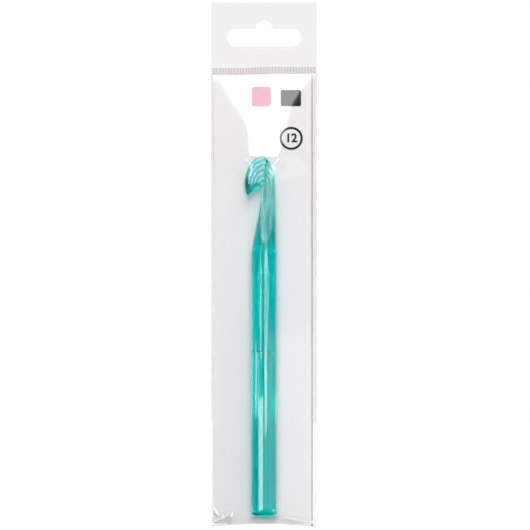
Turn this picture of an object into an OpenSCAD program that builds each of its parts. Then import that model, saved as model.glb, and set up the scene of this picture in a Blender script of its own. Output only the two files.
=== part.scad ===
// A moulded crochet hook on its backing card, sealed in a clear film hang bag.
// X points right, Y to the back and Z up. The origin is the centre of the hang slot's notch, on the
// plane of the bag's back. The hook's outlines are written as [across, up], measured from its own
// axis and butt.

/* [Hook handle] */
// Diameter of the round handle, which is the hook's nominal size
handle_d = 12; // [10:0.5:14]
// Length from the butt to the crown of the head
hook_l = 170; // [150:1:190]
// Height of the domed butt
butt_h = 1.7; // [0.6:0.1:4]
// Length of the thumb rest below the shoulder
thumb_l = 48; // [30:1:60]
// Depth of the thumb rest at its deepest line
thumb_depth = 0.55; // [0.3:0.05:1]
// Distance of the deepest line below the shoulder
thumb_dip = 12; // [6:0.5:20]
// Depth of the small step that ends the thumb rest
thumb_step = 0.12; // [0.06:0.02:0.3]

/* [Hook neck] */
// Length of the neck, from the shoulder to the top of the throat
neck_l = 30; // [24:0.5:40]
// Width of the neck beside the throat
neck_w = 6.1; // [5:0.1:7]
// Thickness that the neck's flats leave at the top of the throat
neck_t = 6.2; // [5.6:0.1:7]

/* [Hook head] */
// Height of the head above the throat
head_h = 14.3; // [11:0.1:18]
// How far the lip stands out past the side of the handle
lip_out = 3.2; // [2:0.1:4.5]
// How far the back of the head is drawn in from the side of the handle
back_in = 0.9; // [0.4:0.1:1.6]
// How far the crown leans from the axis towards the lip
crown_lean = 0.85; // [0:0.05:2]
// Height of the head's widest line above the throat
widest_up = 2.3; // [1:0.1:4]
// How far each side of the head is drawn in towards the crown
head_taper = 1.2; // [0.6:0.1:1.6]
// Thickness of the beak beside the throat, between its flat sides
beak_t = 5.2; // [4.4:0.1:5.6]
// Thickness of the blank that the crown is rounded from
crown_t = 8.8; // [7:0.1:10]
// Thickness of the rounded lip
lip_t = 5.2; // [4.4:0.1:6]
// Radius of the throat
throat_r = 1.8; // [1.4:0.1:2.2]
// Turn of the throat from the neck's wall round to the lip's inner face, in degrees
throat_turn = 140; // [125:1:150]
// Length of the lip's straight inner face
lip_l = 4.5; // [3:0.1:6]

/* [Backing card] */
// Width of the card
card_w = 46.6; // [40:0.1:60]
// Thickness of the card
card_t = 0.4; // [0.3:0.05:0.8]
// Radius of the card's corners
card_corner_r = 1; // [0.5:0.1:3]
// Gap between the card and the crimp seal
card_top_gap = 1; // [0.6:0.1:4]
// Gap between the card and the bag's bottom edge
card_foot_gap = 1.4; // [0.8:0.1:5]

/* [Bag] */
// Thickness of the film
film_t = 0.1; // [0.08:0.01:0.15]
// Spare width of the bag left of the card
left_room = 0.1; // [0:0.1:3]
// Spare width of the bag right of the card
right_room = 1.9; // [0:0.1:3]
// Empty length of the bag above the hook
head_room = 39.5; // [30:0.5:60]
// Length of the bag below the hook
foot_room = 5.6; // [4.5:0.1:10]
// How far the hook can slide up in the bag
hook_travel = 8; // [4:0.5:20]
// Width of the welded bead along each side
weld_w = 0.5; // [0.4:0.05:0.8]
// Height of the crimp seal
crimp_h = 3; // [2:0.1:6]
// Pitch of the crimp seal's ribs
rib_pitch = 0.72; // [0.6:0.02:1.2]
// Depth of the crimp seal's ribs
rib_depth = 0.3; // [0.2:0.05:0.4]

/* [Header] */
// Height of the header above the crimp seal
header_h = 31; // [26:0.5:45]
// Height of the header's top edge above the notch's centre
header_over = 12.5; // [9:0.5:16]
// Length of the hang slot
slot_l = 35.4; // [26:0.2:38]
// Height of the hang slot
slot_h = 8.6; // [6:0.2:10]
// Radius of the round notch in the middle of the slot
notch_r = 4; // [3:0.1:5]
// Radius of the fillets where the notch opens into the slot
notch_fillet_r = 1.1; // [0.6:0.1:2]

/* [Fits] */
// Clearance round the hook
hook_clear = 0.3; // [0.3:0.05:0.6]
// Clearance between the card and the front film
card_clear = 0.1; // [0.05:0.05:0.2]

/* [Hidden] */
$fn = 64;

// Depths, from the bag's back towards its front
layers_t = 2 * film_t;
bead_t = 2 * layers_t;
card_front = film_t + card_t;
hook_r = handle_d / 2;
hook_depth = card_front + hook_clear + hook_r;

// Levels, down from the centre of the notch
crimp_top = header_over - header_h;
crimp_foot = crimp_top - crimp_h;
crown_z = crimp_foot - head_room;
butt_z = crown_z - hook_l;
bag_foot = butt_z - foot_room;
bag_h = crimp_foot - bag_foot;
card_foot = bag_foot + card_foot_gap;
card_h = bag_h - card_foot_gap - card_top_gap;

// Places across the bag, which is centred on the hook
card_wrap = card_clear + film_t;
bag_w = card_w + 2 * card_wrap + left_room + right_room + 2 * weld_w;
weld_x = bag_w / 2 - weld_w;
card_x = left_room + card_wrap - weld_x;

// Landmarks of the hook
throat_top = hook_l - head_h;
shoulder = throat_top - neck_l;
thumb_foot = shoulder - thumb_l;
widest = throat_top + widest_up;
back_x = hook_r - back_in;
wall_x = back_x - neck_w;
lip_x = -hook_r - lip_out;
throat_mid = [wall_x - throat_r, throat_top - throat_r];
lip_root = throat_mid + throat_r * [cos(throat_turn), sin(throat_turn)];
lip_tip = lip_root + lip_l * [-sin(throat_turn), cos(throat_turn)];

// Curves of the hook: turn of the dome at the rim of the butt's small flat, softness of the edges,
// powers of the bows, and the shares of the head's rings at which the throat ends and the lip turns down
butt_turn = 15;
edge_soft = 0.25;
crown_power = 1.75;
lip_power = 2.4;
neck_power = 1.25;
throat_share = 0.62;
brow_share = 0.75;

// The ridge between the beak's flat sides and the spine, and the levels at which the ridge and the
// beak's cut begin
ridge_foot_x = 0.3;
ridge_top_x = 2;
ridge_soft = 0.5;
ridge_foot = throat_top - head_h / 2;
beak_foot = throat_top - neck_l / 2;

// Rings of the hook's skin, from its butt to the tip of its lip
ring_points = 40;
butt_rings = 7;
thumb_rings = 12;
neck_rings = 18;
head_rings = 40;

// Rods that the front film is drawn over: one round the handle that runs on past its shoulder, and at
// the head one along the lip and one along the spine's front edge, as [across, forward, radius]
shoulder_over = 5;
spine_edge_r = 0.8;
head_lanes = [[lip_x + lip_t / 2, 0, lip_t / 2],
              [back_x - spine_edge_r, neck_t / 2 - spine_edge_r, spine_edge_r]];
lane_sides = 32;

function mix(a, b, share) = a + (b - a) * share;
function ease(t) = let (s = min(1, max(0, t))) s * s * (3 - 2 * s);
function bow(t, power) = sign(t) * pow(abs(t), 2 / power);
function soft_min(a, b) =
    let (near = max(edge_soft - abs(a - b), 0) / edge_soft)
    min(a, b) - near * near * edge_soft / 4;

// Half thickness that the thumb rest and the neck's flats leave at a height
function flat_at(up) = lookup(up, [
    [thumb_foot - edge_soft, hook_r + edge_soft],
    [thumb_foot, hook_r - thumb_step],
    [shoulder - thumb_dip, hook_r - thumb_depth],
    [shoulder, hook_r + edge_soft / 2],
    [throat_top, neck_t / 2],
    [hook_l, neck_t / 2 - head_taper]]);

// The ridge bends with the back of the head, and the beak is cut in beside it
function ridge_at(up) =
    let (climb = max(0, up - ridge_foot) / (hook_l - ridge_foot))
    mix(ridge_foot_x, ridge_top_x, climb * climb);
function beak_cut(across, up) =
    (neck_t - beak_t) / 2
    * ease((up - beak_foot) / (throat_top - beak_foot))
    * ease((ridge_at(up) - across) / ridge_soft);

// A station is [inner edge, outer edge, half thickness of the blank] for one ring
function round_station(up, radius) = [[-radius, up], [radius, up], radius];
function butt_station(turn) = round_station(butt_h * (1 - cos(turn) / cos(butt_turn)), hook_r * sin(turn));
function neck_station(share) =
    let (up = mix(shoulder, throat_mid[1], share),
         lift = (widest - throat_mid[1]) * share * share)
    [[mix(-hook_r, wall_x, 1 - pow(1 - share, neck_power)), up],
     [mix(hook_r, back_x, share), up + lift],
     hook_r];

// In the head the inner edge runs round the throat and down the lip, the outer edge over the crown
function head_inner(share) =
    share < throat_share
    ? let (turn = throat_turn * share / throat_share)
      throat_mid + throat_r * [cos(turn), sin(turn)]
    : mix(lip_root, lip_tip, (share - throat_share) / (1 - throat_share));
function head_outer(share) =
    share < brow_share
    ? let (turn = 180 * share / brow_share,
           reach = turn < 90 ? back_x + crown_lean : -lip_x - crown_lean)
      [reach * bow(cos(turn), crown_power) - crown_lean,
       mix(widest, hook_l, bow(sin(turn), crown_power))]
    : let (turn = 90 * (share - brow_share) / (1 - brow_share))
      [mix(lip_tip[0], lip_x, bow(cos(turn), lip_power)),
       mix(widest, lip_tip[1], bow(sin(turn), lip_power))];
function head_half(share) =
    let (crown_share = throat_share * 90 / throat_turn,
         fall = max(0, share - brow_share) / (1 - brow_share))
    lookup(share, [[0, hook_r], [crown_share, crown_t / 2], [brow_share, lip_t / 2]])
    * sqrt(1 - fall * fall);
function head_station(share) = [head_inner(share), head_outer(share), head_half(share)];

stations = concat(
    [for (i = [0 : butt_rings - 1]) butt_station(mix(butt_turn, 90, i / (butt_rings - 1)))],
    [round_station(thumb_foot - edge_soft, hook_r)],
    [for (i = [0 : thumb_rings - 1]) round_station(mix(thumb_foot, shoulder, i / thumb_rings), hook_r)],
    [for (i = [0 : neck_rings - 1]) neck_station(i / neck_rings)],
    [for (i = [0 : head_rings - 1]) head_station(i / head_rings)]);
last_ring = len(stations) - 1;

// One closed ring of the skin, as points [across, depth, up]
function ring(station) =
    let (mid = (station[0] + station[1]) / 2,
         arm = (station[1] - station[0]) / 2)
    [for (i = [0 : ring_points - 1])
        let (turn = 360 * i / ring_points,
             place = mid + arm * cos(turn),
             limit = flat_at(place[1]) - beak_cut(place[0], place[1]),
             depth = soft_min(station[2] * abs(sin(turn)), limit))
        [place[0], depth * sign(sin(turn)), place[1]]];

function corner(r, i) = r * ring_points + i % ring_points;

module crochet_hook() {
    skin = [for (station = stations) each ring(station)];
    tip = [lip_tip[0], 0, lip_tip[1]];
    butt_face = [for (i = [0 : ring_points - 1]) corner(0, i)];
    side_faces = [for (r = [0 : last_ring - 1], i = [0 : ring_points - 1])
        each [[corner(r, i), corner(r + 1, i), corner(r + 1, i + 1)],
              [corner(r, i), corner(r + 1, i + 1), corner(r, i + 1)]]];
    tip_faces = [for (i = [0 : ring_points - 1])
        [corner(last_ring, i), len(skin), corner(last_ring, i + 1)]];
    color("darkcyan")
        translate([0, -hook_depth, butt_z])
            polyhedron(concat(skin, [tip]), concat([butt_face], side_faces, tip_faces), convexity = 6);
}

// A plate in the bag's plane, between two depths measured from the bag's back
module plate(near, far) {
    translate([0, -near, 0])
        rotate([90, 0, 0])
            linear_extrude(far - near)
                children();
}

module rounded_outline(w, h, corner_r) {
    translate([0, corner_r])
        square([w, h - 2 * corner_r]);
    translate([corner_r, 0])
        square([w - 2 * corner_r, h]);
    for (x = [corner_r, w - corner_r], z = [corner_r, h - corner_r])
        translate([x, z])
            circle(corner_r);
}

module backing_card() {
    color("white")
        plate(film_t, card_front)
            translate([card_x, card_foot])
                rounded_outline(card_w, card_h, card_corner_r);
}

// A many-sided rod whose flats, not its corners, keep to the radius
module lane(h, r) {
    cylinder(h = h, r = r / cos(180 / lane_sides), $fn = lane_sides);
}

// What the front film is drawn tight over: the bag's outline, the card and the sliding hook.
// The skin grows it by a film's thickness, and the land draws its outline in.
module contents(near, skin, land) {
    grow = card_clear + skin;
    reach = hook_clear + skin;
    hull() {
        plate(near, film_t + skin)
            translate([land - weld_x, bag_foot + land])
                square([2 * (weld_x - land), bag_h - 2 * land]);
        plate(near, card_front + grow)
            translate([card_x - grow, card_foot - grow])
                square([card_w + 2 * grow, card_h + 2 * grow]);
        translate([0, -hook_depth, butt_z - reach])
            lane(shoulder + shoulder_over + hook_travel + 2 * reach, hook_r + reach);
        for (lane_at = head_lanes)
            translate([lane_at[0], -hook_depth - lane_at[1], butt_z + lip_tip[1] - reach])
                lane(hook_l - lip_tip[1] + hook_travel + 2 * reach, lane_at[2] + reach);
    }
}

module front_panel() {
    color("whitesmoke", 0.3)
        difference() {
            contents(film_t, film_t, 0);
            contents(0, 0, layers_t);
        }
}

module back_panel() {
    color("whitesmoke", 0.3)
        plate(0, film_t)
            translate([-weld_x, bag_foot])
                square([2 * weld_x, bag_h]);
}

module hang_slot() {
    end_r = slot_h / 2;
    fillet_x = sqrt(notch_r * (notch_r + 2 * notch_fillet_r));
    translate([end_r - slot_l / 2, -slot_h])
        square([slot_l - slot_h, slot_h]);
    for (side = [-1, 1]) {
        translate([side * (slot_l / 2 - end_r), -end_r])
            circle(end_r);
        difference() {
            polygon([[0, 0], [side * fillet_x, 0], [side * fillet_x, notch_fillet_r]]);
            translate([side * fillet_x, notch_fillet_r])
                circle(notch_fillet_r);
        }
    }
    circle(notch_r);
}

module header_strip() {
    color("whitesmoke", 0.5)
        plate(0, layers_t)
            difference() {
                translate([-bag_w / 2, crimp_top])
                    square([bag_w, header_h]);
                hang_slot();
            }
}

// Both films pressed together into upright ribs
module crimp_seal() {
    folds = 2 * floor(bag_w / rib_pitch);
    back_edge = [for (i = [0 : folds]) [bag_w * (i / folds - 0.5), -rib_depth * (i % 2)]];
    front_edge = [for (i = [folds : -1 : 0]) back_edge[i] - [0, layers_t]];
    color("gainsboro")
        translate([0, 0, crimp_foot])
            linear_extrude(crimp_h)
                polygon(concat(back_edge, front_edge));
}

module weld_bead() {
    bead_r = bead_t / 2;
    translate([weld_x, -bead_t, bag_foot])
        linear_extrude(bag_h) {
            square([weld_w - bead_r, bead_t]);
            translate([weld_w - bead_r, bead_r])
                circle(bead_r);
        }
}

module left_weld() {
    color("gainsboro")
        mirror([1, 0, 0])
            weld_bead();
}

module right_weld() {
    color("gainsboro")
        weld_bead();
}

crochet_hook();
backing_card();
front_panel();
back_panel();
header_strip();
crimp_seal();
left_weld();
right_weld();
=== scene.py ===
"""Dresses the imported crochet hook, its card and its film bag in materials, and lights them."""

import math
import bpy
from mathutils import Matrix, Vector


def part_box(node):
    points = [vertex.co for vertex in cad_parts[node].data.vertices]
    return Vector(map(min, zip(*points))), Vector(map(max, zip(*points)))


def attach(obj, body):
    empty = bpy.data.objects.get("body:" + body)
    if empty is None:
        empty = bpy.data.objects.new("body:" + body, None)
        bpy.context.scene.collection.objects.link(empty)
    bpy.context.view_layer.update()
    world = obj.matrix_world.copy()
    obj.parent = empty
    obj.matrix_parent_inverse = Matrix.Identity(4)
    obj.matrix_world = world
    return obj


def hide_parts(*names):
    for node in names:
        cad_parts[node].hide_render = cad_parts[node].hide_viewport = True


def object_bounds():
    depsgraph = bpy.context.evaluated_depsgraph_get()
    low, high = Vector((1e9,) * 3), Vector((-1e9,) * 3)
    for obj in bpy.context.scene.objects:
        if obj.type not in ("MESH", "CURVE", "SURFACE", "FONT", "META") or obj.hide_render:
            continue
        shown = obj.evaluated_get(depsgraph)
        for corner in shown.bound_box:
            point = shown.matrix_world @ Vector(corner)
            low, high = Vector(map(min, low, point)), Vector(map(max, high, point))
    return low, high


bl_info = {
    "name": "Crochet hook in a hang bag",
    "version": (1, 0, 0),
    "blender": (4, 5, 0),
    "location": "View3D > Sidebar > Hang bag",
    "description": "Builds a moulded crochet hook on its card in a clear film hang bag",
    "category": "Add Mesh",
}

import bmesh
import bpy
import numpy as np
from bpy.props import FloatProperty, FloatVectorProperty, PointerProperty, StringProperty
from mathutils import Matrix, Vector, noise
from mathutils.bvhtree import BVHTree
from mathutils.geometry import delaunay_2d_cdt

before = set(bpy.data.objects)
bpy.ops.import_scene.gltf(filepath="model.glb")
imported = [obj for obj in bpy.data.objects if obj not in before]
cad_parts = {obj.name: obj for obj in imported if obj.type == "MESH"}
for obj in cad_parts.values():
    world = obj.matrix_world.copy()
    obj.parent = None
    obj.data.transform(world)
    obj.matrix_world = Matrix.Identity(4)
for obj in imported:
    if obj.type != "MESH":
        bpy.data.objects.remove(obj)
CAD_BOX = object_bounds()
MM = 0.001


def node_box(name):
    """Lowest and highest corner of a CAD node."""
    return tuple(Vector(corner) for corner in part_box(name))


HOOK_LOW, HOOK_HIGH = node_box("crochet_hook")
CARD_LOW, CARD_HIGH = node_box("backing_card")
FRONT_LOW, FRONT_HIGH = node_box("front_panel")
BACK_LOW, BACK_HIGH = node_box("back_panel")
HEADER_LOW, HEADER_HIGH = node_box("header_strip")
CRIMP_LOW, CRIMP_HIGH = node_box("crimp_seal")
WELD_LOW, WELD_HIGH = node_box("right_weld")


def length(name, description, default):
    """A property for a size in metres."""
    return FloatProperty(name=name, description=description, default=default, unit="LENGTH", precision=5)


def share(name, description, default):
    """A property for a share between 0 and 1."""
    return FloatProperty(
        name=name, description=description, default=default, min=0, max=1, subtype="FACTOR")


def colour(name, description, default):
    """A property for a colour, as linear red, green and blue."""
    return FloatVectorProperty(
        name=name, description=description, default=default, size=3, min=0, max=1, subtype="COLOR")


def angle(name, description, degrees):
    """A property for an angle."""
    return FloatProperty(
        name=name, description=description, default=math.radians(degrees), subtype="ANGLE")


class HookSettings(bpy.types.PropertyGroup):
    """Sizes and finish of the hook."""

    handle_d: length("Handle", "Diameter of the round handle", HOOK_HIGH.y - HOOK_LOW.y)
    hook_l: length("Length", "From the butt to the crown", HOOK_HIGH.z - HOOK_LOW.z)
    butt_h: length("Butt", "Height of the domed butt", 1.7 * MM)
    thumb_l: length("Thumb rest", "Length of the thumb rest", 48 * MM)
    thumb_depth: length("Thumb rest depth", "Depth at its deepest line", 0.55 * MM)
    thumb_dip: length("Thumb rest dip", "Distance of the deepest line below the shoulder", 12 * MM)
    thumb_step: length("Thumb rest step", "Depth of the step at its foot", 0.12 * MM)
    neck_l: length("Neck", "From the shoulder to the top of the throat", 30 * MM)
    neck_w: length("Neck width", "Width beside the throat", 6.1 * MM)
    neck_t: length("Neck thickness", "Thickness that the flats leave at the top of the throat", 6.2 * MM)
    head_taper: length("Head taper", "How far each side of the head is drawn in to the crown", 1.2 * MM)
    head_h: length("Head", "Height above the throat", 14.3 * MM)
    lip_out: length("Lip", "How far the lip stands out past the handle", 3.2 * MM)
    back_in: length("Back", "How far the head's back is drawn in from the handle", 0.9 * MM)
    crown_lean: length("Crown lean", "How far the crown leans towards the lip", 0.85 * MM)
    widest_up: length("Widest line", "Height of the head's widest line above the throat", 2.3 * MM)
    beak_t: length("Beak", "Thickness between the beak's flat sides", 5.2 * MM)
    crown_t: length("Crown", "Thickness of the blank that the crown is rounded from", 8.8 * MM)
    lip_t: length("Lip thickness", "Thickness of the rounded lip", 5.2 * MM)
    neck_fullness: FloatProperty(
        name="Neck fullness", description="How square the neck is, from 2 for an ellipse", default=2.6)
    throat_r: length("Throat", "Radius of the throat", 1.8 * MM)
    throat_turn: angle("Throat turn", "Turn from the neck round to the lip's inner face", 140)
    lip_l: length("Lip face", "Length of the lip's straight inner face", 4.5 * MM)
    tint: colour("Tint", "Colour of light that has passed through the acrylic", (0.0, 0.963, 0.96))
    density: FloatProperty(name="Density", description="Strength of the tint, per metre", default=800)
    gloss_blur: share("Roughness", "Roughness of the polished moulding", 0.03)
    satin_blur: share("Satin", "Roughness added on the neck's satin flats", 0.1)


class CardSettings(bpy.types.PropertyGroup):
    """Finish and print of the backing card."""

    board: colour("Board", "Colour of the white board", (0.855, 0.838, 0.838))
    ink: colour("Ink", "Colour of the dark print", (0.006, 0.006, 0.007))
    accent: colour("Accent", "Colour of the plain accent square", (0.6, 0.22, 0.31))
    number: StringProperty(name="Number", description="Size number printed in the ring", default="12")
    ring_x: length("Ring across", "Place of the ring's centre across the card", 12.95 * MM)
    ring_z: length("Ring level", "Level of the ring's centre", -52.15 * MM)
    ring_r: length("Ring radius", "Outer radius of the ring", 5.5 * MM)
    ring_line: length("Ring line", "Width of the ring's line", 1.1 * MM)
    number_h: length("Number height", "Height of the number's figures", 4 * MM)


class FilmSettings(bpy.types.PropertyGroup):
    """Shape and finish of the film bag."""

    film_t: length("Film", "Thickness of the film", BACK_HIGH.y - BACK_LOW.y)
    grid: length("Grid", "Spacing of the film's mesh", 0.55 * MM)
    settle: length("Settle", "How far the film stands off the tight shape", 0.15 * MM)
    ripple: length("Ripple", "Height of the film's soft ripples", 0.06 * MM)
    foot_arch: length("Foot arch", "How far the bottom edge is pulled up in its middle", 1.2 * MM)
    header_bow: length("Header bow", "How far the header's leaves part", 0.3 * MM)
    clearness: colour("Clearness", "Light that one face of the film lets through", (0.975, 0.972, 0.974))
    gloss: share("Gloss", "Share of light that one face mirrors head on", 0.024)
    header_clearness: colour(
        "Header clearness", "Light that one face of the header lets through", (0.972, 0.967, 0.968))
    header_gloss: share("Header gloss", "Share of light that one face of the header mirrors head on", 0.003)
    gloss_blur: share("Roughness", "Roughness of the film's gloss", 0.04)
    slack_blur: share("Slack roughness", "Roughness added where the film hangs slack above the hook", 0.16)
    seal: colour("Seal", "Colour of the welded film", (0.76, 0.66, 0.69))
    seal_cover: share("Seal cover", "How far the welded film hides what is behind it", 0.35)
    # Creased film, and painted shade: the creases are darker for the shade at the card's edge and the bag's
    # foot
    crease: colour("Crease", "Colour of the creased film beside the card", (0.6, 0.52, 0.53))
    crease_cover: share("Crease cover", "How far a crease hides what is behind it", 0.5)
    # Painted highlight: white ribbons on the corner folds stand for lamps mirrored in them
    fold: colour("Fold", "Colour of the film where it is folded white", (1, 0.985, 0.99))
    fold_highlight_cover: share("Fold cover", "How far a white fold hides what is behind it", 0.85)
    rib: colour("Rib", "Colour of the crimp's ribs", (0.97, 0.95, 0.96))
    # Painted shade: the tone between the crimp's ribs is darkened for the shade in the grooves
    groove_shade: colour("Groove", "Colour between the crimp's ribs", (0.4, 0.31, 0.33))
    crimp_cover: share("Crimp cover", "How far the crimp hides what is behind it", 0.8)
    rib_pitch: length("Rib pitch", "Spacing of the crimp's ribs", 0.72 * MM)
    crimp_tilt: angle("Crimp tilt", "Slope of the crimp seal", 0.9)
    crimp_wave: length("Crimp wave", "Height of the crimp seal's waves", 0.12 * MM)


class StageSettings(bpy.types.PropertyGroup):
    """Camera, lamps and floor."""

    lens: FloatProperty(name="Lens", description="Focal length in millimetres", default=150)
    frame_w: length("Frame", "Width of the camera's view at the hook", 250.3 * MM)
    centre_x: length("Centre across", "Where the camera looks, across", 0.47 * MM)
    centre_z: length("Centre level", "Where the camera looks, up", -112.3 * MM)
    room: share("Room", "Brightness of the room on the camera's side", 0.025)
    floor: colour("Floor", "Colour of the floor", (0.6, 0.6, 0.6))
    floor_seen: colour("Floor seen", "Colour of the floor to the eye, beside its lift", (0.2, 0.2, 0.2))
    floor_lift: share("Floor lift", "Light added where the floor is seen, so that it shows white", 0.93)


class Wire:
    """An output socket of a node tree. Arithmetic on it adds Math nodes to the tree."""

    def __init__(self, tree, socket=None):
        self.tree = tree
        self.socket = socket

    def add(self, kind, values=None, output=0, **settings):
        """Adds a node, its settings first, and joins or sets its inputs by name or number."""
        node = self.tree.nodes.new(kind)
        for name, value in settings.items():
            setattr(node, name, value)
        for key, value in (values or {}).items():
            if isinstance(value, Wire):
                self.tree.links.new(value.socket, node.inputs[key])
            else:
                node.inputs[key].default_value = value
        return Wire(self.tree, node.outputs[output] if len(node.outputs) else None)

    def maths(self, operation, first, second):
        return self.add("ShaderNodeMath", {0: first, 1: second}, operation=operation)

    def blend(self, first, second):
        """The colour between two colours, with this wire as the share of the second."""
        return self.add("ShaderNodeMix", {0: self, 6: first, 7: second}, output=2, data_type="RGBA")

    def __add__(self, other):
        return self.maths("ADD", self, other)

    def __radd__(self, other):
        return self.maths("ADD", other, self)

    def __sub__(self, other):
        return self.maths("SUBTRACT", self, other)

    def __rsub__(self, other):
        return self.maths("SUBTRACT", other, self)

    def __mul__(self, other):
        return self.maths("MULTIPLY", self, other)

    def __rmul__(self, other):
        return self.maths("MULTIPLY", other, self)

    def __pow__(self, other):
        return self.maths("POWER", self, other)


def rgba(tone):
    return (*tone, 1)


def new_material(name):
    """An empty node material and a wire to add nodes with."""
    material = bpy.data.materials.new(name)
    material.use_nodes = True
    material.node_tree.nodes.clear()
    return material, Wire(material.node_tree)


def finished(material, graph, surface, **others):
    """The material, with that surface and any other output."""
    graph.add("ShaderNodeOutputMaterial", {"Surface": surface, **others})
    return material


def mottle(graph, scale, stretch=(1, 1, 1), detail=3):
    """Soft noise from 0 to 1 in the piece's own coordinates, with scale in bumps per metre."""
    where = graph.add("ShaderNodeTexCoord", output="Object")
    place = graph.add("ShaderNodeMapping", {"Vector": where, "Scale": stretch})
    return graph.add("ShaderNodeTexNoise", {"Vector": place, "Scale": scale, "Detail": detail})


def dimmed(tone, part):
    """A tone brought down to a part of itself."""
    return tuple(part * c for c in tone)


def bump(graph, height, distance, strength=1):
    return graph.add("ShaderNodeBump", {"Height": height, "Distance": distance, "Strength": strength})


def around(graph, centre, reach):
    """Coordinates measured from a centre, with a reach along each axis as their unit."""
    where = graph.add("ShaderNodeTexCoord", output="Object")
    scale = tuple(1 / r for r in reach)
    return graph.add("ShaderNodeMapping", {
        "Vector": where, "Location": tuple(-c * s for c, s in zip(centre, scale)), "Scale": scale})


def place_along(graph, axis):
    """One of the piece's own coordinates."""
    where = graph.add("ShaderNodeTexCoord", output="Object")
    return graph.add("ShaderNodeSeparateXYZ", {"Vector": where}, output=axis)


def fade(graph, value, start, end, **settings):
    """0 at the start and before it, 1 at the end and past it."""
    return graph.add("ShaderNodeMapRange", {"Value": value, "From Min": start, "From Max": end}, **settings)


def distance_from(graph, value, centre):
    return graph.add("ShaderNodeMath", {0: value - centre}, operation="ABSOLUTE")


def ridge_shade_line(graph, shape):
    """The beak's ridge as a line from 0 to 1 for painted shade along it, which fades out down the neck."""
    run_in = 0.15
    climb = fade(graph, place_along(graph, "Z"), HOOK_LOW.z + shape.ridge_foot, HOOK_HIGH.z)
    ridge = climb ** 2 * (shape.ridge_top_x - shape.ridge_foot_x) + shape.ridge_foot_x
    off = distance_from(graph, place_along(graph, "X"), ridge)
    line = fade(graph, off, shape.ridge_soft, 0, interpolation_type="SMOOTHSTEP")
    return line * fade(graph, climb, 0, run_in)


def head_arcs(graph, shape):
    """Flow lines of the moulding, as arcs round the throat from 0 to 1 that fade out down the neck."""
    throat_z = HOOK_LOW.z + shape.throat_top
    reach = (5.9 * MM, 1, 9.7 * MM)
    arcs = graph.add("ShaderNodeTexWave", {
        "Vector": around(graph, (-0.5 * MM, HOOK_LOW.y, throat_z), reach),
        "Scale": 1.25, "Distortion": 1.5, "Detail": 2.0, "Detail Scale": 1.5, "Phase Offset": 2.0},
        output=1, wave_type="RINGS", rings_direction="Y")
    return arcs * fade(graph, place_along(graph, "Z"), throat_z - 6 * MM, throat_z + 2 * MM)


def spot(graph, centre, reach):
    """1 at a place on the piece, down to 0 at its reach along each axis."""
    where = around(graph, centre, reach)
    return graph.add("ShaderNodeTexGradient", {"Vector": where}, output=1, gradient_type="SPHERICAL")


def on_neck(graph, shape, foot, top):
    """1 on the neck, with fades between the starts and ends given from its shoulder and its throat."""
    shoulder_z = HOOK_LOW.z + shape.shoulder
    throat_z = HOOK_LOW.z + shape.throat_top
    level = place_along(graph, "Z")
    rise = fade(graph, level, shoulder_z + foot[0], shoulder_z + foot[1])
    return rise * fade(graph, level, throat_z + top[0], throat_z + top[1])


def neck_satin(graph, shape):
    """The neck's flats from 0 to 1, but for the polished line down their middle."""
    line_x = -0.4 * MM
    off = distance_from(graph, place_along(graph, "X"), line_x)
    beside = fade(graph, off, start=0.3 * MM, end=1 * MM)
    return on_neck(graph, shape, foot=(0, 3 * MM), top=(0, -10 * MM)) * beside


def neck_streaks(graph, shape):
    """Fine lines along the neck from 0 to 1, which darken its colour as painted shade in streaks, and
    roughen and bump it.
    """
    lines = fade(graph, mottle(graph, scale=700, stretch=(1, 1, 0.05)), start=0.48, end=0.6)
    return on_neck(graph, shape, foot=(-6 * MM, 0), top=(4 * MM, -2 * MM)) * lines


def thumb_edge_shade(graph, shape):
    """The short edge at the foot of the thumb rest, from 0 to 1, where a dark line of shade is painted."""
    edge_x = -0.2 * MM
    foot = HOOK_LOW.z + shape.thumb_foot
    above = distance_from(graph, place_along(graph, "Z"), foot)
    beside = distance_from(graph, place_along(graph, "X"), edge_x)
    thin = fade(graph, above, start=0.5 * MM, end=0.15 * MM)
    return thin * fade(graph, beside, start=1.1 * MM, end=0.6 * MM)


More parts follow.
